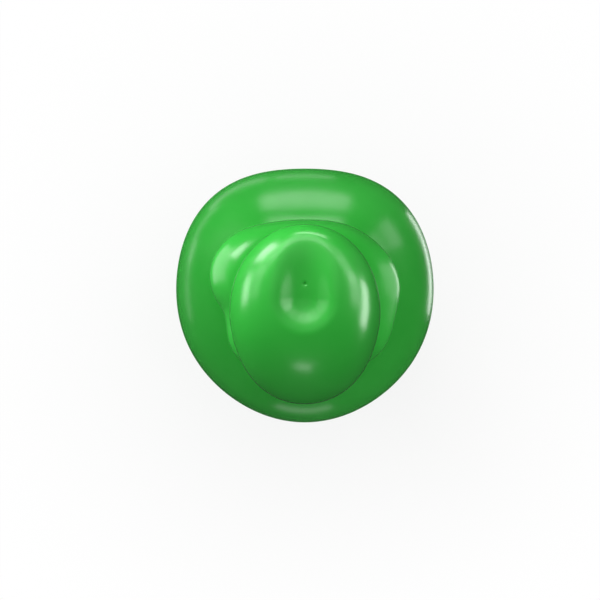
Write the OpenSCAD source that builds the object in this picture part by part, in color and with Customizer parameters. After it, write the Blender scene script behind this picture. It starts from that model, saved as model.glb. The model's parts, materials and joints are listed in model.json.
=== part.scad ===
// Three-valve pipette filler bulb. A hollow squeeze bulb carries a pinch valve on top that lets air out,
// a pinch valve below it for suction, and a side branch with a third pinch valve for emptying.
// +Z is up. The origin is the centre of the mouth of the pipette socket, at the lower end.
// The side branch points to -Y, and the pads of all three valves face -X and +X.

/* [Squeeze bulb] */
// Outside diameter at the bulb's middle
bulb_d = 62; // [52:1:75]
// Height between the bulb's two flat ends
bulb_h = 60; // [50:1:72]
// Radius of each flat end
bulb_end_r = 9; // [8.8:0.1:11]
// Wall of the bulb
bulb_wall = 2.6; // [1.8:0.1:3.2]
// Length of the thick collar inside each end
bulb_collar = 8; // [6.8:0.1:11]
// Depth of the rounded flats at the bulb's middle, as a share of its radius
middle_flat = 0.018; // [0:0.002:0.022]
// Further depth of the three flats on the top shoulder, as a share of its radius
shoulder_flat = 0.1; // [0:0.01:0.12]

/* [Valve balls and air way] */
// Diameter of each valve ball
ball_d = 9; // [7.5:0.1:10.8]
// Diameter of the air way
air_d = 5; // [4:0.1:6]
// Outside diameter of the tube ends that plug into the next piece
plug_d = 9.6; // [8:0.1:10.4]
// Depth to which a tube end plugs in
plug_l = 5.5; // [4.5:0.1:6.6]
// Rubber left between a ball and a pad's pocket or a plug's seat
web = 1.6; // [1.2:0.1:2]

/* [Air valve on top] */
// Diameter of the sleeve at its widest, where the pads are
air_sleeve_d = 32; // [28:0.5:36]
// Diameter of the sleeve's top, under the cap
air_top_d = 27; // [25:0.5:27.5]
// Height of rubber over the pads of the sleeve
air_sleeve_rim = 1.8; // [1:0.1:2.4]
// Width by which the sleeve's foot flares, on the bulb's shoulder
air_foot = 3.2; // [1.6:0.1:4]
// Thickness of the foot's edge
air_foot_edge = 1.6; // [1.2:0.1:2.4]
// Height of the spigot that holds the cap
spigot_h = 4; // [3:0.1:5]
// Diameter of the spigot that holds the cap
spigot_d = 22; // [18.5:0.5:24]
// Diameter of each pinch pad
air_pad_d = 14; // [11:0.5:15]
// Reach of each pinch pad from the middle
air_pad_reach = 20; // [18.5:0.1:24]
// Length of each pinch pad
air_pad_l = 8.2; // [7:0.1:9.4]
// Radius of each pinch pad's dome
air_pad_dome = 9.5; // [8.4:0.1:12]
// Travel of each pinch pad
air_pad_travel = 1.8; // [1:0.1:2.2]

/* [Cap of the air valve] */
// Radius of the cap's dome
dome_r = 13.6; // [12.4:0.1:15.4]
// Height of the dome's centre over the sleeve
dome_rise = 7.5; // [6:0.5:10]
// Radius of the cap's belly, where it is widest
belly_r = 15.8; // [14.5:0.1:18]
// Height of the belly's centre over the sleeve
belly_rise = 3.5; // [2:0.5:5]
// Distance of the belly's centre in front of the middle
belly_y = 5.2; // [3:0.1:7]
// Radius of the chin at the front
chin_r = 11.3; // [9.5:0.1:13]
// Reach of the chin in front of the middle
chin_reach = 22.8; // [20.5:0.1:27]
// Depth to which the chin hangs below the sleeve's top
chin_drop = 10; // [7:0.5:11]
// Length of the oval dish in the dome, at its rim
dish_l = 15.5; // [13:0.5:18]
// Width of the dish at its rim
dish_w = 11; // [9:0.5:15]
// Depth of the dish below its rim
dish_depth = 3.2; // [2:0.1:4]
// Distance of the dish behind the middle
dish_y = 0.4; // [0:0.1:1.4]
// Diameter of the air hole in the dish
vent_d = 1.2; // [0.8:0.1:1.6]
// Distance of the air hole behind the middle
vent_y = 1.6; // [0:0.1:1.8]

/* [Suction valve below] */
// Height of the sleeve
suction_h = 20; // [18:0.5:24]
// Diameter at the sleeve's middle
suction_d = 23; // [20:0.5:27]
// Diameter at the sleeve's ends
sleeve_end_d = 16.4; // [15:0.1:18]

/* [Branch and empty valve] */
// Diameter of the branch piece
tee_d = 15; // [13.5:0.5:18]
// Height of the branch piece
tee_h = 16; // [15:0.5:20]
// Length of the boss on the branch piece, beyond its stem
boss_l = 2; // [1.5:0.1:4]
// Length of the empty valve's sleeve
empty_l = 19; // [17.5:0.5:23]
// Diameter at the middle of the empty valve's sleeve
empty_d = 20; // [18:0.5:23]
// Length of the nozzle beyond the sleeve
nozzle_l = 5.5; // [4:0.5:7]
// Diameter of the nozzle at its tip
nozzle_tip_d = 8.4; // [7:0.1:10]
// Radius of the nozzle's rounded tip
nozzle_edge = 1; // [0.5:0.1:1.4]
// Diameter of the hole in the nozzle
nozzle_hole_d = 3; // [2:0.1:3.8]

/* [Pads of the two lower valves] */
// Diameter of each pinch pad
pad_d = 11; // [9:0.5:12]
// Height by which a pad stands out of its sleeve
pad_rise = 2; // [1.2:0.1:3]
// Radius of each pad's dome
pad_dome = 8.25; // [7:0.05:10]
// Travel of each pinch pad
pad_travel = 1.5; // [0.8:0.1:1.8]

/* [Pipette socket] */
// Diameter of the bore that grips the pipette
socket_d = 7; // [5.6:0.1:8.6]
// Length of the socket
socket_l = 20; // [16:0.5:25]
// Outside diameter of the socket
socket_od = 14.4; // [13.6:0.1:17]
// Radius of the rolled rim round the mouth
rim_r = 1.6; // [1:0.1:2]

/* [Fits] */
// Clearance of a tube end in its seat, on the radius
plug_fit = 0.05; // [0.02:0.01:0.1]
// Clearance at the end of a seated tube end
plug_end_gap = 0.2; // [0.1:0.05:0.4]
// Clearance of a ball in its pocket, on the radius
ball_fit = 0.05; // [0.02:0.01:0.1]
// Clearance round a pad, and behind it at the end of its travel
pad_gap = 0.3; // [0.2:0.05:0.5]
// Gap between the air valve and the bulb
shoulder_gap = 0.3; // [0.2:0.05:0.5]

/* [Hidden] */
$fn = 64;

rubber = [0.2, 0.64, 0.22];
pad_rubber = [0.26, 0.72, 0.29];
glass = [0.78, 0.86, 0.86];

// Room for a ball in its pocket, and for a tube end in its seat
pocket_r = ball_d / 2 + ball_fit;
seat_r = plug_d / 2 + plug_fit;
seat_l = plug_l + plug_end_gap;

// Heights of the stack, from the socket's mouth up
tee_z0 = socket_l;
branch_z = tee_z0 + tee_h / 2;
suction_z0 = tee_z0 + tee_h;
suction_ball_z = suction_z0 + seat_l + web / 2 + pocket_r;
bulb_z0 = suction_z0 + suction_h;
bulb_mid = bulb_z0 + bulb_h / 2;
bulb_z1 = bulb_z0 + bulb_h;
air_ball_z = bulb_z1 + shoulder_gap + web + max(pocket_r, air_pad_d / 2 + pad_gap);
air_z1 = air_ball_z + air_pad_d / 2 + pad_gap + air_sleeve_rim;

// Distances along the branch, from the stem's axis out
empty_y0 = tee_d / 2 + boss_l;
empty_ball_y = empty_y0 + seat_l + web / 2 + pocket_r;
empty_y1 = empty_y0 + empty_l;
nozzle_plug_l = empty_y1 - empty_ball_y - pocket_r - web / 2 - plug_end_gap;

// The bulb's round form: the latitude of its flat ends and its height to the pole
bulb_r = bulb_d / 2;
end_latitude = acos(bulb_end_r / bulb_r);
bulb_pole = bulb_h / 2 / sin(end_latitude);

// A pad's pocket ends a web's width outside the ball, and the long pads' pocket behind their own length
pocket_x = pocket_r + web;
air_pocket_x = air_pad_reach - air_pad_l - air_pad_travel - pad_gap;
open_end = 60;

// Outline at angle a: three rounded corners, at the two sides of the back and at the front
function outline(a, flat, corner) =
    1 + flat * (sin(3 * a) - 0.6 * cos(4 * a) + 0.4 * cos(2 * a) - 0.4 * sin(5 * a)) + corner * sin(3 * a);

// The corners grow from the middle of the bulb to its top end
function corner_share(u) = u > 0 ? shoulder_flat * pow(sin(u), 2) : 0;

// Point of the bulb at latitude u and angle a, drawn in by inset
function bulb_point(u, a, inset) =
    let (r = cos(u) * (bulb_r * outline(a, middle_flat, corner_share(u)) - inset))
    [r * cos(a), r * sin(a), bulb_mid + (bulb_pole - inset) * sin(u)];

// The bulb's form between two latitudes, as a loft of rings
module bulb_form(inset = 0, from = -end_latitude, rings = 20, sides = 48) {
    step = (end_latitude - from) / rings;
    points = [for (i = [0:rings], j = [0:sides - 1]) bulb_point(from + step * i, 360 * j / sides, inset)];
    walls = [for (i = [0:rings - 1], j = [0:sides - 1])
        let (k = (j + 1) % sides, low = i * sides, high = low + sides)
        each [[low + j, high + j, high + k], [low + j, high + k, low + k]]];
    base = [for (j = [0:sides - 1]) j];
    top = [for (j = [sides - 1:-1:0]) rings * sides + j];
    polyhedron(points, concat(walls, [base, top]));
}

// A round barrel on the Z axis, from z = 0 up, with an arc for its side
module barrel(d_mid, d_end, h) {
    rise = (d_mid - d_end) / 2;
    arc_r = (rise * rise + h * h / 4) / (2 * rise);
    rotate_extrude() intersection() {
        translate([d_mid / 2 - arc_r, h / 2]) circle(r = arc_r);
        square([d_mid, h]);
    }
}

// A pinch valve's sleeve on the Z axis, from z = 0 up: a barrel with a seat below for a tube end,
// a pocket for the ball, a pocket on each side for a pad and an air way to the top
module valve_sleeve(d_mid, h, ball_z) {
    difference() {
        barrel(d_mid, sleeve_end_d, h);
        translate([0, 0, -1]) cylinder(r = seat_r, h = seat_l + 1);
        cylinder(d = air_d, h = h + 1);
        translate([0, 0, ball_z]) {
            sphere(r = pocket_r);
            pad_pockets(pad_d, pocket_x);
        }
    }
}

// Pockets for a pair of pads on the X axis, open outwards from x
module pad_pockets(d, x) {
    for (side = [0, 180])
        rotate([0, 0, side]) translate([x, 0, 0]) rotate([0, 90, 0]) cylinder(d = d + 2 * pad_gap, h = open_end);
}

// A pad on the +X side: a round plug from x0 to x1 with a domed outer end
module pad(d, x0, x1, dome) {
    intersection() {
        translate([x0, 0, 0]) rotate([0, 90, 0]) cylinder(d = d, h = x1 - x0 + 1);
        translate([x1 - dome, 0, 0]) sphere(r = dome);
    }
}

module air_pad() {
    translate([0, 0, air_ball_z]) pad(air_pad_d, air_pad_reach - air_pad_l, air_pad_reach, air_pad_dome);
}

module suction_pad() {
    translate([0, 0, suction_ball_z])
        pad(pad_d, pocket_x + pad_gap + pad_travel, suction_d / 2 + pad_rise, pad_dome);
}

module empty_pad() {
    along_branch() translate([0, 0, empty_ball_y])
        pad(pad_d, pocket_x + pad_gap + pad_travel, empty_d / 2 + pad_rise, pad_dome);
}

// Lays a piece that is drawn upwards along the branch, to -Y
module along_branch() {
    translate([0, 0, branch_z]) rotate([90, 0, 0]) children();
}

// A tube end that plugs into the next piece, from z = 0 up
module tube_end() {
    cylinder(d = plug_d, h = plug_l);
}

module squeeze_bulb() {
    collar_r = seat_r + bulb_wall;
    color(rubber) difference() {
        bulb_form();
        difference() {
            bulb_form(inset = bulb_wall, rings = 14, sides = 36);
            for (z = [bulb_z0 - 1, bulb_z1 - bulb_collar])
                translate([0, 0, z]) cylinder(r = collar_r, h = bulb_collar + 1);
        }
        translate([0, 0, bulb_z0 - 1]) cylinder(r = seat_r, h = bulb_collar + 2);
        translate([0, 0, bulb_z1 - bulb_collar - 1]) cylinder(r = seat_r + plug_fit, h = bulb_collar + 2);
    }
}

// Half section of the air valve's sleeve: straight at the pads, drawn in by an arc to the top,
// and flared by a fillet where its foot lies on the bulb's shoulder
module air_sleeve_section() {
    r = air_sleeve_d / 2;
    rise = r - air_top_d / 2;
    top_h = air_z1 - air_ball_z;
    arc_r = (rise * rise + top_h * top_h) / (2 * rise);
    foot_z = bulb_mid + bulb_pole / 2;
    shoulder_z = bulb_mid + bulb_pole * sqrt(1 - pow((r + air_foot) / bulb_r, 2));
    waist_z = shoulder_z + shoulder_gap + air_foot_edge + air_foot;
    translate([0, foot_z]) square([r, air_ball_z - foot_z]);
    intersection() {
        translate([r - arc_r, air_ball_z]) circle(r = arc_r);
        translate([0, foot_z]) square([r, air_z1 - foot_z]);
    }
    difference() {
        translate([0, foot_z]) square([r + air_foot, waist_z - foot_z]);
        translate([r + air_foot, waist_z]) circle(r = air_foot);
    }
}

module air_valve_sleeve() {
    color(rubber) difference() {
        union() {
            difference() {
                rotate_extrude() air_sleeve_section();
                bulb_form(inset = -shoulder_gap, from = 15, rings = 10);
            }
            translate([0, 0, air_z1 - 1]) cylinder(d = spigot_d, h = spigot_h + 1);
            translate([0, 0, bulb_z1 - plug_l]) cylinder(d = plug_d, h = plug_l + web);
        }
        translate([0, 0, bulb_z1 - plug_l - 1]) cylinder(d = air_d, h = air_z1 + spigot_h - bulb_z1 + plug_l + 2);
        translate([0, 0, air_ball_z]) {
            sphere(r = pocket_r);
            pad_pockets(air_pad_d, air_pocket_x);
        }
    }
}

module air_valve_ball() {
    color(glass) translate([0, 0, air_ball_z]) sphere(d = ball_d);
}

module air_valve_cap() {
    dome_z = air_z1 + dome_rise;
    belly_z = air_z1 + belly_rise;
    chin_z = air_z1 - chin_drop + chin_r;
    dish_rim_z = dome_z + sqrt(dome_r * dome_r - dish_l * dish_l / 4);
    dish_arc = (dish_l * dish_l / 4 + dish_depth * dish_depth) / (2 * dish_depth);
    sleeve_room_r = air_sleeve_d / 2 + plug_fit;
    color(rubber) difference() {
        hull() {
            translate([0, 0, dome_z]) sphere(r = dome_r, $fn = 40);
            translate([0, -belly_y, belly_z]) sphere(r = belly_r, $fn = 40);
            translate([0, chin_r - chin_reach, chin_z]) sphere(r = chin_r, $fn = 32);
        }
        translate([0, 0, air_z1 - open_end]) cylinder(r = sleeve_room_r, h = open_end);
        translate([-open_end, -belly_y, air_z1 - open_end]) cube([2 * open_end, open_end, open_end]);
        translate([0, 0, air_ball_z]) pad_pockets(air_pad_d + 2 * pad_gap, air_pocket_x);
        translate([0, 0, air_z1 - 1]) cylinder(d = spigot_d + 2 * plug_fit, h = spigot_h + 1 + plug_end_gap);
        translate([0, dish_y, dish_rim_z - dish_depth + dish_arc]) scale([dish_w / dish_l, 1, 1])
            sphere(r = dish_arc);
        translate([0, vent_y, air_z1]) cylinder(d = vent_d, h = open_end);
    }
}

module air_pad_left() {
    color(pad_rubber) rotate([0, 0, 180]) air_pad();
}

module air_pad_right() {
    color(pad_rubber) air_pad();
}

module suction_valve_sleeve() {
    color(rubber) {
        difference() {
            union() {
                translate([0, 0, suction_z0]) valve_sleeve(suction_d, suction_h, suction_ball_z - suction_z0);
                translate([0, 0, bulb_z0]) tube_end();
            }
            translate([0, 0, suction_ball_z]) cylinder(d = air_d, h = suction_h + plug_l);
        }
    }
}

module suction_valve_ball() {
    color(glass) translate([0, 0, suction_ball_z]) sphere(d = ball_d);
}

module suction_pad_left() {
    color(pad_rubber) rotate([0, 0, 180]) suction_pad();
}

module suction_pad_right() {
    color(pad_rubber) suction_pad();
}

module branch_tee() {
    color(rubber) difference() {
        union() {
            translate([0, 0, tee_z0]) cylinder(d = tee_d, h = tee_h);
            along_branch() cylinder(d = tee_d, h = empty_y0);
            translate([0, 0, tee_z0 - plug_l]) tube_end();
            translate([0, 0, suction_z0]) tube_end();
            along_branch() translate([0, 0, empty_y0]) tube_end();
        }
        translate([0, 0, tee_z0 - plug_l - 1]) cylinder(d = air_d, h = tee_h + 2 * plug_l + 2);
        along_branch() cylinder(d = air_d, h = empty_y0 + plug_l + 1);
    }
}

module empty_valve_sleeve() {
    color(rubber) difference() {
        along_branch() translate([0, 0, empty_y0]) valve_sleeve(empty_d, empty_l, empty_ball_y - empty_y0);
        along_branch() translate([0, 0, empty_y1 - nozzle_plug_l - plug_end_gap])
            cylinder(r = seat_r, h = nozzle_plug_l + 1);
    }
}

module empty_valve_ball() {
    color(glass) along_branch() translate([0, 0, empty_ball_y]) sphere(d = ball_d);
}

module empty_pad_left() {
    color(pad_rubber) mirror([1, 0, 0]) empty_pad();
}

module empty_pad_right() {
    color(pad_rubber) empty_pad();
}

// Half section of the nozzle: a cone with a rounded tip, from z = 0 up
module nozzle_section() {
    base_r = sleeve_end_d / 2;
    tip_r = nozzle_tip_d / 2;
    slope = atan2(base_r - tip_r, nozzle_l);
    edge_x = tip_r + nozzle_edge * (tan(slope) - 1 / cos(slope));
    edge_z = nozzle_l - nozzle_edge;
    polygon([[0, 0], [base_r, 0], [edge_x + nozzle_edge * cos(slope), edge_z + nozzle_edge * sin(slope)],
        [edge_x, nozzle_l], [0, nozzle_l]]);
    translate([edge_x, edge_z]) circle(r = nozzle_edge);
}

module empty_nozzle() {
    color(rubber) along_branch() difference() {
        union() {
            translate([0, 0, empty_y1 - nozzle_plug_l]) cylinder(d = plug_d, h = nozzle_plug_l);
            translate([0, 0, empty_y1]) rotate_extrude() nozzle_section();
        }
        translate([0, 0, empty_y1 - nozzle_plug_l - 1])
            cylinder(d = nozzle_hole_d, h = nozzle_plug_l + nozzle_l + 2);
    }
}

module pipette_socket() {
    color(rubber) difference() {
        rotate_extrude() {
            square([socket_od / 2, socket_l]);
            translate([socket_od / 2, rim_r]) circle(r = rim_r);
        }
        translate([0, 0, -1]) cylinder(d = socket_d, h = socket_l + 2);
        translate([0, 0, socket_l - seat_l]) cylinder(r = seat_r, h = seat_l + 1);
    }
}

squeeze_bulb();
air_valve_sleeve();
air_valve_ball();
air_valve_cap();
air_pad_left();
air_pad_right();
suction_valve_sleeve();
suction_valve_ball();
suction_pad_left();
suction_pad_right();
branch_tee();
empty_valve_sleeve();
empty_valve_ball();
empty_pad_left();
empty_pad_right();
empty_nozzle();
pipette_socket();
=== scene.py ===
# %% [markdown]
# # A rubber pipette filler bulb
#
# This lesson dresses a three-valve pipette filler in Blender. The solids come from a CAD model that is
# already packed: they say where each piece is, how big it is and how it moves. Blender gives the pieces
# the soft moulded skins, the rubber and the light that the photograph shows.

# %% Load the frame
import json
import math

import bpy
import numpy as np
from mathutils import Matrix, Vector


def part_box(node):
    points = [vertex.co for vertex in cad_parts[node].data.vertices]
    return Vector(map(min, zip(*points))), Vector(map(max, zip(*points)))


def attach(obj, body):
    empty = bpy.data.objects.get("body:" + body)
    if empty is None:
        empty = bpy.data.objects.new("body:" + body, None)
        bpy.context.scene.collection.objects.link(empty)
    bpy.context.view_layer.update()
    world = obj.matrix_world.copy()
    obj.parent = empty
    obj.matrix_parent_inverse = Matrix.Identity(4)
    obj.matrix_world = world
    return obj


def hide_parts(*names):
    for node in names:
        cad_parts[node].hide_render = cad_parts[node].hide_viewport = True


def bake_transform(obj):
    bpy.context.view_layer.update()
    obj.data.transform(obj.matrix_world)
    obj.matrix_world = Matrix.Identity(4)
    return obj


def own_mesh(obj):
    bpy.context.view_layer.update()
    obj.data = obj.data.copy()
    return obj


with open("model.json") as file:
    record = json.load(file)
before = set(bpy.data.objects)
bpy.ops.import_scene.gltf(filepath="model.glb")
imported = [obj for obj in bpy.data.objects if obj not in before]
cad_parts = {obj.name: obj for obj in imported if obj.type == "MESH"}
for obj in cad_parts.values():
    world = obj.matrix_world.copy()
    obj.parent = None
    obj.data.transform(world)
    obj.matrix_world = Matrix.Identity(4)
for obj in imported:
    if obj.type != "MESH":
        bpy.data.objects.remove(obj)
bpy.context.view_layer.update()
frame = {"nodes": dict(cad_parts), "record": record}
MM = 0.001

# %% [markdown]
# ## Sizes from the frame
#
# The main heights are read from the boxes of CAD nodes, so the skins follow the solids if those change.
# Shapes are worked out in millimetres and turned to metres when a mesh is made.

# %% Read the heights of the stack
X, Y, Z = range(3)


def span(node, axis):
    """Lowest and highest coordinate of a CAD node on one axis, in millimetres."""
    low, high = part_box(node)
    return low[axis] / MM, high[axis] / MM


bulb_z0, bulb_z1 = span("squeeze_bulb", Z)
bulb_mid = (bulb_z0 + bulb_z1) / 2
air_z = sum(span("air_pad_left", Z)) / 2
ear_reach = span("air_pad_right", X)[1]
spigot_h = 4
air_top = span("air_valve_sleeve", Z)[1] - spigot_h
print(f"bulb from {bulb_z0:.1f} to {bulb_z1:.1f} mm, air valve at {air_z:.1f}, its top at {air_top:.1f}")

# %% [markdown]
# ## Moulded rubber
#
# The filler is moulded from natural rubber with a green pigment. A polished mould leaves it glossy, with a
# soft edge to each reflection. The colour is even, but never flat: it clouds a little over a centimetre or
# so, the gloss varies with handling, and a grain breaks up the highlights. A painted image could show all
# this, but noise textures need no unwrapping, and their scale is one over a real size. The grain is drawn
# coarser than a mould's, which would be too fine to show.

# %% Colours and a helper for nodes


def linear(hex_colour):
    """Turns an sRGB hex colour to the linear values that shaders use."""
    shares = [int(hex_colour[i:i + 2], 16) / 255 for i in (1, 3, 5)]
    return [s / 12.92 if s <= 0.04045 else ((s + 0.055) / 1.055) ** 2.4 for s in shares] + [1.0]


def add(tree, kind, inputs=None, **settings):
    """Adds a node with its settings. An input is a value, or a pair of a node and its output's name."""
    made = tree.nodes.new(kind)
    for name, value in settings.items():
        setattr(made, name, value)
    for name, value in (inputs or {}).items():
        if isinstance(value, tuple) and isinstance(value[0], bpy.types.Node):
            tree.links.new(value[0].outputs[value[1]], made.inputs[name])
        else:
            made.inputs[name].default_value = value
    return made


def new_material(name):
    """A material with an empty node tree and its output node."""
    material = bpy.data.materials.new(name)
    material.use_nodes = True
    material.node_tree.nodes.clear()
    return material, material.node_tree, material.node_tree.nodes.new("ShaderNodeOutputMaterial")


# %% Green moulded rubber
cloud_mm = 14
cloud_detail = 3.0
gloss_patch_mm = 6
smoothest, roughest = 0.19, 0.29
grain_mm = 0.7
grain_detail = 2.0
grain_height_mm = 0.012
grain_strength = 0.35
rubber_ior = 1.5


def moulded_rubber(name, dark, light):
    """Pigmented natural rubber from a polished mould: deep colour with a clear, soft-edged gloss."""
    material, tree, output = new_material(name)
    place = add(tree, "ShaderNodeTexCoord")
    cloud = add(tree, "ShaderNodeTexNoise", {"Vector": (place, "Object"), "Scale": 1 / (cloud_mm * MM),
                                             "Detail": cloud_detail})
    colour = add(tree, "ShaderNodeMix", {"Factor": (cloud, "Fac"), "A": linear(dark), "B": linear(light)},
                 data_type="RGBA")
    patch = add(tree, "ShaderNodeTexNoise", {"Vector": (place, "Object"),
                                             "Scale": 1 / (gloss_patch_mm * MM)})
    gloss = add(tree, "ShaderNodeMapRange", {"Value": (patch, "Fac"), "To Min": smoothest,
                                             "To Max": roughest})
    grain = add(tree, "ShaderNodeTexNoise", {"Vector": (place, "Object"), "Scale": 1 / (grain_mm * MM),
                                             "Detail": grain_detail})
    bump = add(tree, "ShaderNodeBump", {"Height": (grain, "Fac"), "Strength": grain_strength,
                                        "Distance": grain_height_mm * MM})
    shader = add(tree, "ShaderNodeBsdfPrincipled", {"Base Color": (colour, "Result"), "IOR": rubber_ior,
                                                    "Roughness": (gloss, "Result"),
                                                    "Normal": (bump, "Normal")})
    tree.links.new(shader.outputs["BSDF"], output.inputs["Surface"])
    return material


rubber = moulded_rubber("green_moulded_rubber", "#259A2E", "#35A93C")
pad_rubber = moulded_rubber("green_pad_rubber", "#279C30", "#37AB3E")
print("materials:", rubber.name, pad_rubber.name)

# %% [markdown]
# ## Wrapping a form with a net of rays
#
# Moulded rubber has no sharp corners: each form flows into the next. Such a shape can be described by a
# distance, which is below nought inside it and above nought outside. Two distances blend into one, which
# rounds the corner between the forms. To get a mesh, rays go out from the middle of the form, and each
# one is halved again and again till it ends where the distance is nought. The ends of the rays are the
# net's knots. A subdivided cage would do as well, but here the sizes stay the real ones.

# %% Distances and how they blend


def join(a, b, fillet):
    """Union of two forms, with the corner between them filled over about that length."""
    share = np.clip(0.5 + 0.5 * (b - a) / fillet, 0, 1)
    return b + (a - b) * share - fillet * share * (1 - share)


def both(a, b, rounding):
    """What two forms have in common, with the edge rounded."""
    return -join(-a, -b, rounding)


def ball(points, centre, radius):
    """Distance to a ball."""
    return np.linalg.norm(points - np.array(centre), axis=-1) - radius


def rod(points, start, end, radius):
    """Distance to a rod with round ends."""
    start, way = np.array(start), np.array(end) - np.array(start)
    share = np.clip((points - start) @ way / (way @ way), 0, 1)
    return np.linalg.norm(points - start - share[..., None] * way, axis=-1) - radius


# %% Rays and nets
ray_length = 60.0
halvings = 30


def wrap(distance, starts, directions):
    """Points where rays from inside a form leave it, by halving the stretch that holds the surface."""
    near = np.zeros(starts.shape[:-1])
    far = np.full(starts.shape[:-1], ray_length)
    for _ in range(halvings):
        middle = (near + far) / 2
        inside = distance(starts + directions * middle[..., None]) < 0
        near = np.where(inside, middle, near)
        far = np.where(inside, far, middle)
    return starts + directions * near[..., None]


def rays_round_axis(heights, tilts, sides):
    """Rays that leave the Z axis at the given heights, tilted up by the given angles, all the way round."""
    angles = np.linspace(0, 2 * math.pi, sides, endpoint=False)
    heights, tilts = np.asarray(heights, float)[:, None], np.asarray(tilts, float)[:, None]
    flat, rise = np.cos(tilts), np.sin(tilts) + 0 * angles
    directions = np.stack([flat * np.cos(angles), flat * np.sin(angles), rise], axis=-1)
    starts = np.zeros_like(directions)
    starts[..., Z] = heights
    return starts, directions


def net(rows):
    """Vertices and faces of a round net. Each end is closed by a fan with a ring of its own, so that the
    end's flat face doesn't bend the shading of the side."""
    count, sides = rows.shape[:2]
    points = [rows.reshape(-1, 3)]
    faces = []
    for i in range(count - 1):
        for j in range(sides):
            k = (j + 1) % sides
            faces.append((i * sides + j, i * sides + k, (i + 1) * sides + k, (i + 1) * sides + j))
    total = count * sides
    for ring, turn in ((rows[0], 1), (rows[-1], -1)):
        points += [ring, ring.mean(axis=0)[None]]
        faces += [(total + sides, total + (j + 1) % sides, total + j)[::turn] for j in range(sides)]
        total += sides + 1
    return np.concatenate(points), faces


def piece(name, points, faces, material, slot, normals=None):
    """A smooth mesh object from points in millimetres."""
    mesh = bpy.data.meshes.new(name)
    mesh.from_pydata(points * MM, [], faces)
    mesh.shade_smooth()
    if normals is not None:
        mesh.normals_split_custom_set_from_vertices(normals)
    mesh.materials.append(material)
    made = bpy.data.objects.new(name, mesh)
    bpy.context.scene.collection.objects.link(made)
    size = (points.max(axis=0) - points.min(axis=0)).round(1)
    print(f"{name}: {len(points)} points, {size[X]} x {size[Y]} x {size[Z]} mm")
    return made


# %% [markdown]
# ## The air valve's sleeve and its ears
#
# The sleeve on the bulb's shoulder holds a ball, and two fingers pinch its thick sides, the ears, to let
# air past the ball. The ears swell out of the sleeve without an edge. A boolean union with a bevel would
# leave a seam there, so one skin is wrapped round both and then cut: each ear becomes a piece of its own,
# and its rim stays on the sleeve.

# %% Form of the sleeve and ears
lobes = 3
waist_r = 16.6
waist_flat = 0.08
ear_r = 9.4
ear_squash = 1.18
ear_y = {-1: 3.4, 1: 0.8}
flank_r = 9.0
flank_x = {-1: 7.3, 1: 9.3}
flank_y = {-1: -8.0, 1: -6.5}
ear_fillet = 3.2
top_r = 13.6
top_rounding = 3.0
waist_in = 1.1
waist_z = bulb_z1 - 1


def air_valve_form(points):
    """Distance to the sleeve with its ears: a lobed drum that draws in to the top, joined to two balls a
    side, one for the ear and one for the flank in front of it."""
    x, y, z = points[..., X], points[..., Y], points[..., Z]
    lobed = 1 + waist_flat * np.sin(lobes * np.arctan2(y, x))
    draw_in = (waist_r - top_r) * np.clip((z - air_z) / (air_top - air_z), 0, None) ** 2
    draw_in = draw_in + waist_in * np.clip((air_z - z) / (air_z - waist_z), 0, None) ** 2
    drum = both(np.hypot(x, y) - (waist_r - draw_in) * lobed, z - air_top, top_rounding)
    squashed = (points - (0, 0, air_z)) * (1, 1, ear_squash)
    for side in (-1, 1):
        drum = join(drum, ball(squashed, (side * (ear_reach - ear_r), ear_y[side], 0), ear_r), ear_fillet)
        drum = join(drum, ball(squashed, (side * flank_x[side], flank_y[side], 0), flank_r), ear_fillet)
    return drum


# %% Wrap the sleeve
SIDES = 192
upright_rows, tilted_rows = 40, 24
tilt_z = air_z + 2
upright = np.linspace(waist_z, tilt_z, upright_rows)
tilted = np.linspace(0, math.pi / 2, tilted_rows)[1:-1]
starts, directions = rays_round_axis(np.r_[upright, np.full(len(tilted), tilt_z)],
                                     np.r_[np.zeros(len(upright)), tilted], SIDES)
sleeve_rings = wrap(air_valve_form, starts, directions)
sleeve_points, sleeve_faces = net(sleeve_rings)
print(f"the air valve is wrapped in {len(sleeve_rings)} rings of {SIDES} knots")

# %% [markdown]
# The normals are taken from the whole skin before the cut, so that no line shows in the gloss.

# %% Cut the ears off as pieces of their own
still = 1.4


def vertex_normals(points, faces):
    """Smooth normals of a mesh before it is cut, so that the cut doesn't show."""
    mesh = bpy.data.meshes.new("whole")
    mesh.from_pydata(points * MM, [], faces)
    normals = np.zeros(3 * len(points), np.float32)
    mesh.vertices.foreach_get("normal", normals)
    bpy.data.meshes.remove(mesh)
    return normals.reshape(-1, 3)


def part_of(points, faces, normals):
    """Some faces of a mesh, with their own points and normals."""
    used = np.unique(np.concatenate([np.array(f) for f in faces]))
    new_index = {old: new for new, old in enumerate(used)}
    return points[used], [tuple(new_index[v] for v in f) for f in faces], normals[used]


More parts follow.
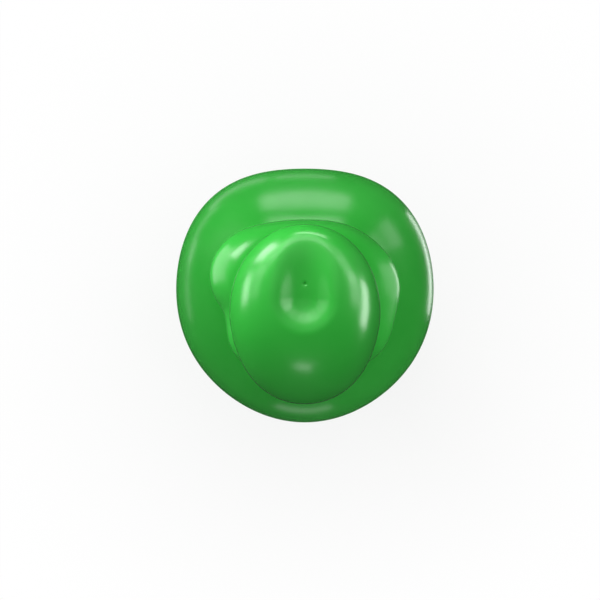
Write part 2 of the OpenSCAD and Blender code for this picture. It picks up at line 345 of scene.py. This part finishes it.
def ears_apart(name, points, faces, cut_x, reach, body, centre):
    """Cuts a valve's skin into its sleeve, which is attached to the valve's body, and two ears."""
    normals = vertex_normals(points, faces)
    beyond = np.where(np.abs(points[:, X]) > cut_x, np.sign(points[:, X]), 0)
    parts = {-1: [], 0: [], 1: []}
    for face in faces:
        side = beyond[face[0]]
        parts[side if all(beyond[list(face)] == side) else 0].append(face)
    own_points, own_faces, own_normals = part_of(points, parts[0], normals)
    sleeve = piece(f"{name}_sleeve_skin", own_points, own_faces, rubber, "green_rubber", own_normals)
    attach(sleeve, body)
    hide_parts(f"{name}_valve_sleeve")
    for side, sign in (("left", -1), ("right", 1)):
        own_points, own_faces, own_normals = part_of(points, parts[sign], normals)
        ear = piece(f"{name}_ear_{side}", own_points, own_faces, pad_rubber, "pad_rubber", own_normals)
        start, end = [Vector((sign * x, *centre)) * MM for x in (cut_x + still, reach)]
        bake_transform(ear)
        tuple(start)
        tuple(end)
        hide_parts(f"{name}_pad_{side}")


air_cut_x = 14.8
ears_apart("air", sleeve_points, sleeve_faces, air_cut_x, ear_reach, "air_valve", (0, air_z))

# %% [markdown]
# ## The squeeze bulb
#
# The bulb is a thick hollow ball of rubber. In the photograph its outline is not a circle: it has a broad
# flat back and rounded corners at the two sides and at the front, because the mould eases the ball for a
# hand. A sum of a few waves round the axis gives that outline, and the waves grow towards the shoulder. A
# UV sphere with sculpted dents could look alike, but a formula keeps it smooth under a glossy finish.

# %% Outline and rings of the bulb
angles = np.linspace(0, 2 * math.pi, SIDES, endpoint=False)
bulb_r = 31.0
bulb_end_r = 9.0
middle_flat = 0.018
two_waves, four_waves, five_waves = 0.4, -0.6, -0.4
shoulder_flat = 0.1
end_latitude = math.acos(bulb_end_r / bulb_r)
bulb_pole = (bulb_z1 - bulb_z0) / 2 / math.sin(end_latitude)


def bulb_ring(latitude):
    """Radius and height of the bulb's skin at a latitude, for every angle."""
    waves = np.sin(lobes * angles) + four_waves * np.cos(4 * angles)
    waves = waves + two_waves * np.cos(2 * angles) + five_waves * np.sin(5 * angles)
    corners = shoulder_flat * max(0.0, math.sin(latitude)) ** 2 * np.sin(lobes * angles)
    radius = bulb_r * math.cos(latitude) * (1 + middle_flat * waves + corners)
    return radius, np.full(SIDES, bulb_mid + bulb_pole * math.sin(latitude))


def ring_points(radius, height):
    """Points of one ring from its radius and height at every angle."""
    return np.stack([radius * np.cos(angles), radius * np.sin(angles), height], axis=-1)


# %% [markdown]
# On top the bulb's skin turns up into the waist of the air valve. That hollow turn is a curve from the
# shoulder to the waist: it starts along the shoulder's slope and ends upright, so no crease shows.

# %% The waist and the hollow turn below it
turn_width = 3.0
slope_step = 0.01
ball_rows, turn_rows = 110, 19
waist = np.hypot(sleeve_rings[0, :, X], sleeve_rings[0, :, Y])
foot_latitude = math.acos((waist_r + turn_width) / bulb_r)
foot_r, foot_z = bulb_ring(foot_latitude)
past_r, past_z = bulb_ring(foot_latitude + slope_step)
corner_z = foot_z + (waist - foot_r) * (past_z - foot_z) / (past_r - foot_r)
rings = [ring_points(*bulb_ring(u)) for u in np.linspace(-end_latitude, foot_latitude, ball_rows)]
for t in np.linspace(0, 1, turn_rows)[1:]:
    radius = (1 - t) ** 2 * foot_r + (1 - (1 - t) ** 2) * waist
    height = (1 - t) ** 2 * foot_z + 2 * t * (1 - t) * corner_z + t * t * waist_z
    rings.append(ring_points(radius, height))
print(f"the turn starts at {foot_z.min():.1f} to {foot_z.max():.1f} mm and ends at {waist_z:.1f} mm")

# %% Build the bulb
bulb = piece("bulb_skin", *net(np.array(rings)), rubber, "green_rubber")
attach(bulb, "filler")
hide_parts("squeeze_bulb")
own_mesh(bulb)

# %% [markdown]
# ## The cap
#
# The egg-shaped cap closes the air valve. Its dome stands over the valve, a belly bulges in front of it,
# and a chin hangs down to the front. On top lies a dish for a fingertip, with the air hole in it. A sphere
# could be sculpted into such an egg, but distances keep each part's size: an upright rod is the dome, two
# balls are the belly and the chin, a large ball flattens the top, and a rod that rises to the back presses
# the dish into it. All are blended, so the dish's rim is as soft as the rest. The hole is so fine in the
# photograph that a small pit in the skin is enough.

# %% Form of the cap
dome_r, dome_z0, dome_z1 = 13.2, air_top + 7.5, air_top + 10.5
belly_r, belly_y, belly_z = 14.3, -6.3, air_top + 4.8
chin_r, chin_y, chin_z = 10.4, -12.3, air_top + 0.2
egg_fillet = 6.0
lid_r, lid_y, lid_z = 30.0, 2.5, air_top + 17.5
lid_rounding = 4.0
dish_r = 6.2
front_depth, back_depth = 3.0, 0.6
dish_front = (0, -2.1, lid_z - front_depth + dish_r)
dish_back = (0.4, 10.4, lid_z - back_depth + dish_r)
dish_rounding = 2.0
pit_y = 1.6
pit_r = 0.2
pit_edge = 0.1
pit_depth = 0.5


def cap_form(points):
    """Distance to the egg with its dish and the pit of its air hole."""
    dome = rod(points, (0, 0, dome_z0), (0, 0, dome_z1), dome_r)
    belly = ball(points, (0, belly_y, belly_z), belly_r)
    chin = ball(points, (0, chin_y, chin_z), chin_r)
    egg = join(join(dome, belly, egg_fillet), chin, egg_fillet)
    egg = both(egg, ball(points, (0, lid_y, lid_z - lid_r), lid_r), lid_rounding)
    egg = both(egg, -rod(points, dish_front, dish_back, dish_r), dish_rounding)
    from_pit = np.hypot(points[..., X], points[..., Y] - pit_y) - pit_r
    pit = pit_depth * (1 - np.tanh(from_pit / pit_edge / 2)) / 2
    return egg + pit * (points[..., Z] > dome_z0)


# %% Wrap the cap from a point below its pit
hub_z = air_top + 2
hub_to_pit = 14
pit_rows, egg_rows = 26, 118
pit_reach = 2.2 * pit_r
fine = np.linspace(0, pit_reach / hub_to_pit, pit_rows)[1:]
rest = np.linspace(fine[-1], math.pi, egg_rows)[1:-1]
tilts = math.pi / 2 - np.r_[fine, rest]
starts, directions = rays_round_axis(np.full(len(tilts), hub_z), tilts, SIDES)
starts[..., Y] += pit_y
cap = piece("air_valve_cap_skin", *net(wrap(cap_form, starts, directions)[::-1]), rubber, "green_rubber")
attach(cap, "air_valve")
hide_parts("air_valve_cap")

# %% [markdown]
# ## The suction valve
#
# Below the bulb sits a barrel with a second ball in it, and two more thick sides to pinch. A turned barrel
# with two spheres pushed into it would show their edges, so it is wrapped like the air valve. A fine ridge
# runs down its front and back, where the two halves of the mould met.

# %% Form of a lower valve, upright from nought
barrel_end_r = 8.2
barrel_rounding = 1.6
pad_dome_r = 8.25
pad_fillet = 2.2
ridge_height = 0.12
ridge_width = 0.28


def mould_ridge(points):
    """Height of the line that the mould leaves on the plane x = 0."""
    return ridge_height * np.exp(-(points[..., X] / ridge_width) ** 2)


def lower_valve_form(length, middle_r, pad_reach, pad_z):
    """Distance function of a barrel with a rounded side and a domed pad on its left and right."""
    rise = middle_r - barrel_end_r
    arc_r = (rise * rise + length * length / 4) / (2 * rise)
    pad_x = pad_reach - pad_dome_r

    def distance(points):
        from_middle = points[..., Z] - length / 2
        side = middle_r - arc_r + np.sqrt(np.clip(arc_r ** 2 - from_middle ** 2, 0, None))
        barrel = both(np.hypot(points[..., X], points[..., Y]) - side - mould_ridge(points),
                      np.abs(from_middle) - length / 2, barrel_rounding)
        for sign in (-1, 1):
            barrel = join(barrel, ball(points, (sign * pad_x, 0, pad_z), pad_dome_r), pad_fillet)
        return barrel

    return distance


def end_to_end_rays(length, sides):
    """Rays along a form of that length, swinging up and down at its ends."""
    inset = 3.0
    swing_rows, along_rows = 14, 48
    swing = np.linspace(0, math.pi / 2, swing_rows)[1:-1]
    along = np.linspace(inset, length - inset, along_rows)
    heights = np.r_[np.full(len(swing), inset), along, np.full(len(swing), length - inset)]
    return rays_round_axis(heights, np.r_[-swing[::-1], np.zeros(len(along)), swing], sides)


# %% Build the suction valve
tee_plug = 5.5
suction_z0 = span("branch_tee", Z)[1] - tee_plug
suction_h = bulb_z0 - suction_z0
suction_r = 11.5
suction_reach = span("suction_pad_right", X)[1]
suction_pad_z = sum(span("suction_pad_right", Z)) / 2
suction_cut_x = 7.5
form = lower_valve_form(suction_h, suction_r, suction_reach, suction_pad_z - suction_z0)
points, faces = net(wrap(form, *end_to_end_rays(suction_h, SIDES)))
points[:, Z] += suction_z0
ears_apart("suction", points, faces, suction_cut_x, suction_reach, "filler", (0, suction_pad_z))

# %% [markdown]
# ## The side branch
#
# A short tee joins the suction valve, the pipette socket and the empty valve, which lets air in so that the
# pipette drains. Two cylinders in a boolean union would need a bevel along the curve where they meet. As
# distances they are joined with a generous fillet in one step.

# %% The tee
tee_r = 7.5
tee_h = 16
tee_fillet = 3.0
tee_rounding = 0.9
branch_stub = 2
hidden_end = 0.6
tee_z0 = suction_z0 - tee_h
branch_z = (tee_z0 + suction_z0) / 2
empty_y0 = tee_r + branch_stub


def tee_form(points):
    """Distance to an upright rod and a rod to -Y, with a fillet between them."""
    x, y, z = points[..., X], points[..., Y], points[..., Z]
    ridge = mould_ridge(points)
    stem = np.hypot(x, y) - tee_r - ridge
    branch = np.maximum(np.hypot(x, z - branch_z) - tee_r - ridge, -y - empty_y0 - hidden_end)
    branch = np.maximum(branch, y)
    return both(join(stem, branch, tee_fillet), np.abs(z - branch_z) - tee_h / 2, tee_rounding)


starts, directions = end_to_end_rays(tee_h, SIDES)
starts[..., Z] += tee_z0
tee = piece("branch_tee_skin", *net(wrap(tee_form, starts, directions)), rubber, "green_rubber")
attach(tee, "filler")
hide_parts("branch_tee")

# %% [markdown]
# The empty valve is the same kind of barrel as the suction valve. It is made upright with the same
# functions and then laid along the branch, which is simpler than a second set of formulas.

# %% The empty valve, laid along the branch


def along_branch(points):
    """Lays points that stand on Z along the branch, to -Y."""
    return np.stack([points[..., X], -points[..., Z], points[..., Y] + branch_z], axis=-1)


empty_y1 = -span("empty_valve_sleeve", Y)[0]
empty_l = empty_y1 - empty_y0
empty_r = 10.0
empty_reach = span("empty_pad_right", X)[1]
empty_pad_y = -sum(span("empty_pad_right", Y)) / 2
empty_cut_x = 6.5
form = lower_valve_form(empty_l, empty_r, empty_reach, empty_pad_y - empty_y0)
points, faces = net(wrap(form, *end_to_end_rays(empty_l, SIDES)))
points[:, Z] += empty_y0
ears_apart("empty", along_branch(points), faces, empty_cut_x, empty_reach, "filler",
           (-empty_pad_y, branch_z))

# %% [markdown]
# A small nozzle with an air hole closes the branch. Nozzle and socket are turned forms: a half section,
# drawn with lines and arcs, goes round an axis. A Screw modifier does that too, but here each point of the
# section simply becomes one ring of a net, and the nets are the ones that the other pieces use.

# %% Half sections


def arc(centre, radius, first, last, count=10):
    """Points of an arc in a half section, between two angles in degrees."""
    turn = np.radians(np.linspace(first, last, count))
    return [(centre[0] + radius * math.cos(a), centre[1] + radius * math.sin(a)) for a in turn]


def stretch(start, end, count):
    """Points of a straight line in a half section."""
    return [tuple(p) for p in np.linspace(start, end, count)]


def turned(section):
    """Rings of a net from a half section."""
    return np.array([ring_points(np.full(SIDES, r), np.full(SIDES, h)) for r, h in section])


# %% The nozzle
nozzle_tip = -span("empty_nozzle", Y)[0]
nozzle_tip_r = 4.2
nozzle_edge = 1.1
nozzle_slope = 36
hole_r = 1.5
hole_depth = 5.0
hole_edge = 0.4
base_edge = 0.8
base_gap, base_end = 0.3, -70
foot_gap = 0.2
row_gap = 0.5
hole_foot = nozzle_tip - hole_depth
section = [(hole_r, hole_foot)]
section += stretch((hole_r, hole_foot + row_gap), (hole_r, nozzle_tip - row_gap), count=8)
section += arc((hole_r + hole_edge, nozzle_tip - hole_edge), hole_edge, 180, 90, count=5)
section += arc((nozzle_tip_r - nozzle_edge, nozzle_tip - nozzle_edge), nozzle_edge, 90, nozzle_slope)
base_z = empty_y1 + base_edge + base_gap
section += arc((barrel_end_r - base_edge, base_z), base_edge, nozzle_slope, base_end)
section += [(hole_r, empty_y1 + foot_gap)]
nozzle = piece("empty_nozzle_skin", *net(along_branch(turned(section)[::-1])), rubber, "green_rubber")
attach(nozzle, "filler")
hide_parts("empty_nozzle")

# %% [markdown]
# ## The pipette socket
#
# The socket is a thick tube with a rolled rim, which grips the pipette's end. Looking up into it shows
# the end of the tee and the air way. A tube with a bevel would give the rim one radius all over, while a
# half section can have a lip inside, a roll outside and a hollow neck above it.

# %% Turn the socket
bore_r, bore_depth = [frame["record"]["mounts"][0]["dims"][k] for k in ("r_mm", "length_mm")]
air_way_r, air_way_l = 2.5, 8
seat_edge = 0.4
tiny = 0.05
lip, lip_gap = 0.9, 0.3
socket_r = 7.2
rim_r, rim_end = 1.6, 55
neck_h, neck_rows = 2.6, 9
top_edge, top_gap = 0.8, 1.0
section = [(air_way_r, bore_depth + air_way_l), (air_way_r, bore_depth + seat_edge)]
section += arc((air_way_r + seat_edge, bore_depth + seat_edge), seat_edge, 180, 270, count=4)
section += stretch((bore_r - tiny, bore_depth), (bore_r, bore_depth - tiny), count=2)
section += stretch((bore_r, bore_depth - seat_edge), (bore_r, lip + lip_gap), count=14)
section += arc((bore_r + lip, lip), lip, 180, 270)
section += arc((socket_r, rim_r), rim_r, -90, rim_end, count=18)
rim_edge = section[-1]
for t in np.linspace(0, 1, neck_rows)[1:]:
    fade = (1 - t) ** 2
    section.append((fade * rim_edge[0] + (1 - fade) * socket_r, rim_edge[1] + neck_h * t))
section += stretch((socket_r, section[-1][1] + row_gap), (socket_r, tee_z0 - top_gap), count=24)
section += arc((socket_r - top_edge, tee_z0 - top_edge - tiny), top_edge, 0, 90, count=6)
section += [(air_way_r, tee_z0 - tiny)]
socket = piece("pipette_socket_skin", *net(turned(section)), rubber, "green_rubber")
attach(socket, "filler")
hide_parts("pipette_socket")

# %% [markdown]
# ## The valve balls
#
# The balls are out of sight in their sleeves. New spheres could replace them, but their CAD solids are the
# right shape already, so they stay and get a clear soda-lime glass with a polished face.

# %% Glass for the balls
# polished glass gives the eye sharp highlights and a clear, slightly green body
scuff_mm = 1.5
most_polished, least_polished = 0.02, 0.06
glass_ior = 1.52
glass, tree, output = new_material("polished_soda_glass")
place = add(tree, "ShaderNodeTexCoord")
scuff = add(tree, "ShaderNodeTexNoise", {"Vector": (place, "Object"), "Scale": 1 / (scuff_mm * MM)})
polish = add(tree, "ShaderNodeMapRange", {"Value": (scuff, "Fac"), "To Min": most_polished,
                                          "To Max": least_polished})
shader = add(tree, "ShaderNodeBsdfPrincipled", {"Base Color": linear("#EEF5F3"), "IOR": glass_ior,
                                                "Transmission Weight": 1.0,
                                                "Roughness": (polish, "Result")})
tree.links.new(shader.outputs["BSDF"], output.inputs["Surface"])
for name in ("air_valve_ball", "suction_valve_ball", "empty_valve_ball"):
    mesh = frame["nodes"][name].data
    mesh.materials.clear()
    mesh.materials.append(glass)
    print(name, "is glass,", round(span(name, X)[1] - span(name, X)[0], 2), "mm across")

# %% [markdown]
# ## A white floor
#
# The photograph has plain white behind the filler. A floor that is lit till it is white would also throw
# too much light on the object. So the floor is white paper to the lamps, and to the camera, to mirrors and
# to glass it mostly glows white by itself. Near the object more of the paper shows, and with it the shadow.

# %% Floor


def seen_straight(tree):
    """One for rays from the camera, mirrored rays and rays through glass, nought for all others."""
    path = add(tree, "ShaderNodeLightPath")
    seen = add(tree, "ShaderNodeMath", {0: (path, "Is Camera Ray"), 1: (path, "Is Glossy Ray")},
               operation="MAXIMUM")
    return add(tree, "ShaderNodeMath", {0: (seen, "Value"), 1: (path, "Is Transmission Ray")},
               operation="MAXIMUM")


white_share = 0.75
shadow_reach_mm = 130
floor_size, floor_z = 60, -0.0003
floor_material, tree, output = new_material("white_floor")
seen = seen_straight(tree)
place = add(tree, "ShaderNodeNewGeometry")
away = add(tree, "ShaderNodeVectorMath", {0: (place, "Position")}, operation="LENGTH")
glow = add(tree, "ShaderNodeMapRange", {"Value": (away, "Value"), "From Max": shadow_reach_mm * MM,
                                        "To Min": white_share, "To Max": 1.0},
           interpolation_type="SMOOTHSTEP")
share = add(tree, "ShaderNodeMath", {0: (seen, "Value"), 1: (glow, "Result")}, operation="MULTIPLY")
paper = add(tree, "ShaderNodeBsdfDiffuse", {"Color": linear("#F2F2F2")})
white = add(tree, "ShaderNodeEmission", {"Color": linear("#FFFFFF"), "Strength": 1.0})
mixed = add(tree, "ShaderNodeMixShader", {0: (share, "Value"), 1: (paper, "BSDF"), 2: (white, "Emission")})
tree.links.new(mixed.outputs["Shader"], output.inputs["Surface"])
bpy.ops.mesh.primitive_plane_add(size=floor_size, location=(0, 0, floor_z))
floor = bpy.context.object
floor.name = "floor"
floor.data.materials.append(floor_material)
print(f"floor {floor_size} m wide, {-floor_z / MM:.1f} mm below the socket")

# %% [markdown]
# ## The camera
#
# The photograph looks straight down on the air valve. The height of the camera sets how much larger the
# near cap looks than the bulb behind it. The lens then follows from the bulb's size in the picture. The
# axis of the filler is not quite in the middle, so the lens is shifted, which keeps the view straight down.

# %% Camera
image_px = 600
px_per_mm = 4.145
axis_px = (304.9, 292.1)
camera_height = 300
sensor_mm = 36
nearest = 0.01
camera_data = bpy.data.cameras.new("camera")
camera = bpy.data.objects.new("camera", camera_data)
bpy.context.scene.collection.objects.link(camera)
bpy.context.scene.camera = camera
camera.location = (0, 0, (bulb_mid + camera_height) * MM)
camera_data.sensor_width = sensor_mm
camera_data.lens = px_per_mm * camera_height * sensor_mm / image_px
camera_data.shift_x = -(axis_px[0] - image_px / 2) / image_px
camera_data.shift_y = -(image_px / 2 - axis_px[1]) / image_px
camera_data.clip_start = nearest
print(f"lens {camera_data.lens:.1f} mm")

# %% [markdown]
# ## Room light and fill lamps
#
# The room is white to the eye but gives only a little light. Soft boxes give the rest: most of it from
# above, and a key light from the back left, where the photograph is brightest. One picture of a studio as
# the world would light everything alike. With lamps, a few can be kept to one group of pieces. The fills
# stay out of mirrored rays, because the highlights get lamps of their own in the next step.

# %% Room light
bpy.context.scene.view_settings.view_transform = "Standard"
room_light = 0.15
world = bpy.data.worlds.new("studio")
bpy.context.scene.world = world
world.use_nodes = True
tree = world.node_tree
level = add(tree, "ShaderNodeMapRange", {"Value": (seen_straight(tree), "Value"), "To Min": room_light,
                                         "To Max": 1.0})
background = tree.nodes["Background"]
background.inputs["Color"].default_value = linear("#FFFFFF")
tree.links.new(level.outputs["Result"], background.inputs["Strength"])
print(f"the room gives {room_light} of the light of a white one")

# %% Groups of pieces that a lamp can be kept to
groups = {"bulb": ["bulb_skin"],
          "ears": ["air_sleeve_skin", "air_ear_left", "air_ear_right"],
          "cap": ["air_valve_cap_skin"],
          "stem": ["suction_sleeve_skin", "suction_ear_left", "suction_ear_right", "branch_tee_skin",
                   "empty_sleeve_skin", "empty_ear_left", "empty_ear_right", "empty_nozzle_skin",
                   "pipette_socket_skin"]}
lit_by = {}
for group, names in groups.items():
    lit_by[group] = bpy.data.collections.new(f"lit_{group}")
    for name in names:
        lit_by[group].objects.link(bpy.data.objects[name])
print("lamp groups:", {group: len(names) for group, names in groups.items()})

# %% Soft boxes that fill the shadows


def softbox(name, group, place, aim, size, power, glossy=True, diffuse=True):
    """A rectangular studio light at a place, turned to a point, all in millimetres. With a group, only
    the pieces of that group are lit."""
    data = bpy.data.lights.new(name, "AREA")
    data.shape = "RECTANGLE"
    data.size, data.size_y = size[0] * MM, size[1] * MM
    data.energy = power
    lamp = bpy.data.objects.new(name, data)
    bpy.context.scene.collection.objects.link(lamp)
    lamp.location = Vector(place) * MM
    lamp.rotation_mode = "QUATERNION"
    lamp.rotation_quaternion = (Vector(aim) - Vector(place)).to_track_quat("-Z", "Y")
    lamp.visible_camera = False
    lamp.visible_glossy = glossy
    lamp.visible_diffuse = diffuse
    if group:
        lamp.light_linking.receiver_collection = lit_by[group]


def round_object(azimuth, radius, height):
    """A place round the object's axis, from an angle anticlockwise from +X."""
    turn = math.radians(azimuth)
    return (radius * math.cos(turn), radius * math.sin(turn), height)


cap_middle = (0, 0, 149)
# name, group, place, aim, size in millimetres and power in watts
fills = (("overhead_fill", None, (0, 200, 850), (0, 0, 100), (800, 800), 5.0),
         ("key", None, round_object(137, 600, 210), (0, 0, 120), (300, 300), 2.0),
         ("right_fill", None, round_object(12, 600, 130), (0, 0, 100), (300, 200), 0.7),
         ("left_fill", None, round_object(160, 500, 130), (0, 0, 125), (250, 200), 0.75),
         ("front_fill", None, (0, -700, 200), (0, 0, 90), (400, 400), 0.4),
         ("low_fill", "bulb", round_object(-70, 600, 60), (0, 0, 90), (400, 200), 1.0),
         ("cap_fill", "cap", round_object(80, 200, 380), cap_middle, (120, 120), 0.2),
         ("right_ear_fill", "ears", round_object(0, 300, 250), (16, 2, 131), (150, 150), 0.3))
for fill in fills:
    softbox(*fill, glossy=False)
print(len(fills), "fill lamps")

# %% [markdown]
# ## Lamps for the highlights
#
# On glossy rubber the eye reads the shape from the highlights, and each one is the mirror image of a lamp.
# So for each highlight of the photograph a lamp is put where that spot of the rubber mirrors it to the
# camera. A few large lamps would be less work, but then one highlight could not be moved without another.
# Each lamp is kept to its group of pieces. Brightness is given as radiance, so that a lamp that grows
# makes a larger highlight and not a brighter one.

# %% A lamp that a spot on the rubber mirrors


def mirrored_lamp(name, group, spot, azimuth, elevation, distance, size, radiance, diffuse=True):
    """A soft box in a direction and at a distance from a spot on the rubber, for one group of pieces."""
    lift = math.radians(elevation)
    offset = round_object(azimuth, distance * math.cos(lift), distance * math.sin(lift))
    power = radiance * math.pi * size[0] * size[1] * MM * MM
    softbox(name, group, Vector(spot) + Vector(offset), spot, size, power, diffuse=diffuse)


# %% Highlights on the bulb and the stem
# name, spot, azimuth, elevation, distance, size and radiance
bulb_lamps = (("shoulder_band", (0, 20, 108), 90, -9, 300, (150, 105), 3.0),
              ("right_patch", (19, 13, 109), 34, -3, 300, (140, 115), 1.8),
              ("back_line", (0, 27, 98), 90, -45, 100, (30, 10), 1.2),
              ("left_rim", (-26, 4, 103), 178, -38, 120, (84, 14), 0.9),
              ("left_corner_rim", (-24, 13, 103), 150, -40, 120, (84, 14), 1.0),
              ("back_corner_rim", (-16, 24, 99), 119, -48, 110, (66, 12), 1.3),
              ("front_rim", (0, -27, 103), -91, -35, 120, (76, 22), 0.9),
              ("right_rim", (28, 8, 96), 12, -60, 100, (70, 14), 3.6))
for name, *settings in bulb_lamps:
    mirrored_lamp(name, "bulb", *settings)
strip_azimuths = (-145, -35, 40, 140)
for azimuth in strip_azimuths:
    mirrored_lamp(f"stem_strip_{azimuth}", "stem", (0, 0, 30), azimuth, 14, 420, (110, 330), 2.6)
print(len(bulb_lamps), "lamps for the bulb,", len(strip_azimuths), "strips for the stem")

# %% Highlights on the ears
ear_lamps = (("left_ear_top", (-13.2, 8.3, 133), 139, 8, 120, (52, 52), 8.5),
             ("left_ear_side", (-17, 4.2, 131), 163, -20, 200, (170, 150), 2.2),
             ("right_ear_side", (16.5, 2.6, 132), 6, -18, 200, (130, 130), 1.3),
             ("right_ear_edge", (18.7, 3.6, 128), 8, -45, 120, (60, 24), 3.4))
for name, *settings in ear_lamps:
    mirrored_lamp(name, "ears", *settings)
print(len(ear_lamps), "lamps for the ears")

# %% [markdown]
# The cap has three kinds of highlight. Low lamps give the bright patches along the dome's edge. A ring of
# higher lamps, side by side, is mirrored in the hollow of the dish as a soft U. One lamp in front gives the
# spot on the chin. Most of them show in mirrored rays only, so that they don't brighten the cap all over.

# %% Highlights on the cap
corner_azimuth = 137
edge_distance, arc_distance = 300, 450
# azimuth, elevation, size and radiance
edge_lamps = ((-10, 8, (200, 100), 11.0), (84, 6, (170, 60), 9.0),
              (corner_azimuth, 14, (130, 120), 11.5), (178, 10, (140, 100), 7.5))
for azimuth, elevation, size, radiance in edge_lamps:
    mirrored_lamp(f"cap_edge_{azimuth}", "cap", cap_middle, azimuth, elevation, edge_distance, size,
                  radiance, diffuse=azimuth == corner_azimuth)
arc_width = 240
# azimuth, elevation, height and radiance
arc_lamps = ((-2, 34, 170, 3.6), (22, 37, 150, 2.6), (53, 38, 280, 1.7), (90, 38, 300, 2.8),
             (120, 38, 300, 2.8), (149, 38, 170, 2.2), (175, 35, 160, 2.1))
for azimuth, elevation, height, radiance in arc_lamps:
    mirrored_lamp(f"dish_arc_{azimuth}", "cap", cap_middle, azimuth, elevation, arc_distance,
                  (arc_width, height), radiance, diffuse=False)
mirrored_lamp("chin_spot", "cap", (0, -14.3, 145.6), -91, 16, 400, (80, 40), 6.5)
print(len(edge_lamps), "lamps for the cap's edge,", len(arc_lamps), "for its dish and one for its chin")

# %% [markdown]
# ## A dark tent
#
# Glossy rubber in an all-white room mirrors white everywhere and looks milky. A studio hangs dark cloth
# round the object for that. A darker world would do it too, but then the background would turn grey. So a
# box of dark cloth stands round the object and its lamps, and only mirrored rays can see it.

# %% Dark tent
tent_size, tent_foot = 5.0, -0.0002
tent_material, tree, output = new_material("dark_tent_cloth")
cloth = add(tree, "ShaderNodeEmission", {"Color": linear("#303030"), "Strength": 1.0})
tree.links.new(cloth.outputs["Emission"], output.inputs["Surface"])
bpy.ops.mesh.primitive_cube_add(size=tent_size, location=(0, 0, tent_size / 2 + tent_foot))
tent = bpy.context.object
tent.name = "dark_tent"
tent.data.materials.append(tent_material)
for kind in ("camera", "diffuse", "shadow", "transmission", "volume_scatter"):
    setattr(tent, f"visible_{kind}", False)
print(f"tent {tent_size} m wide")
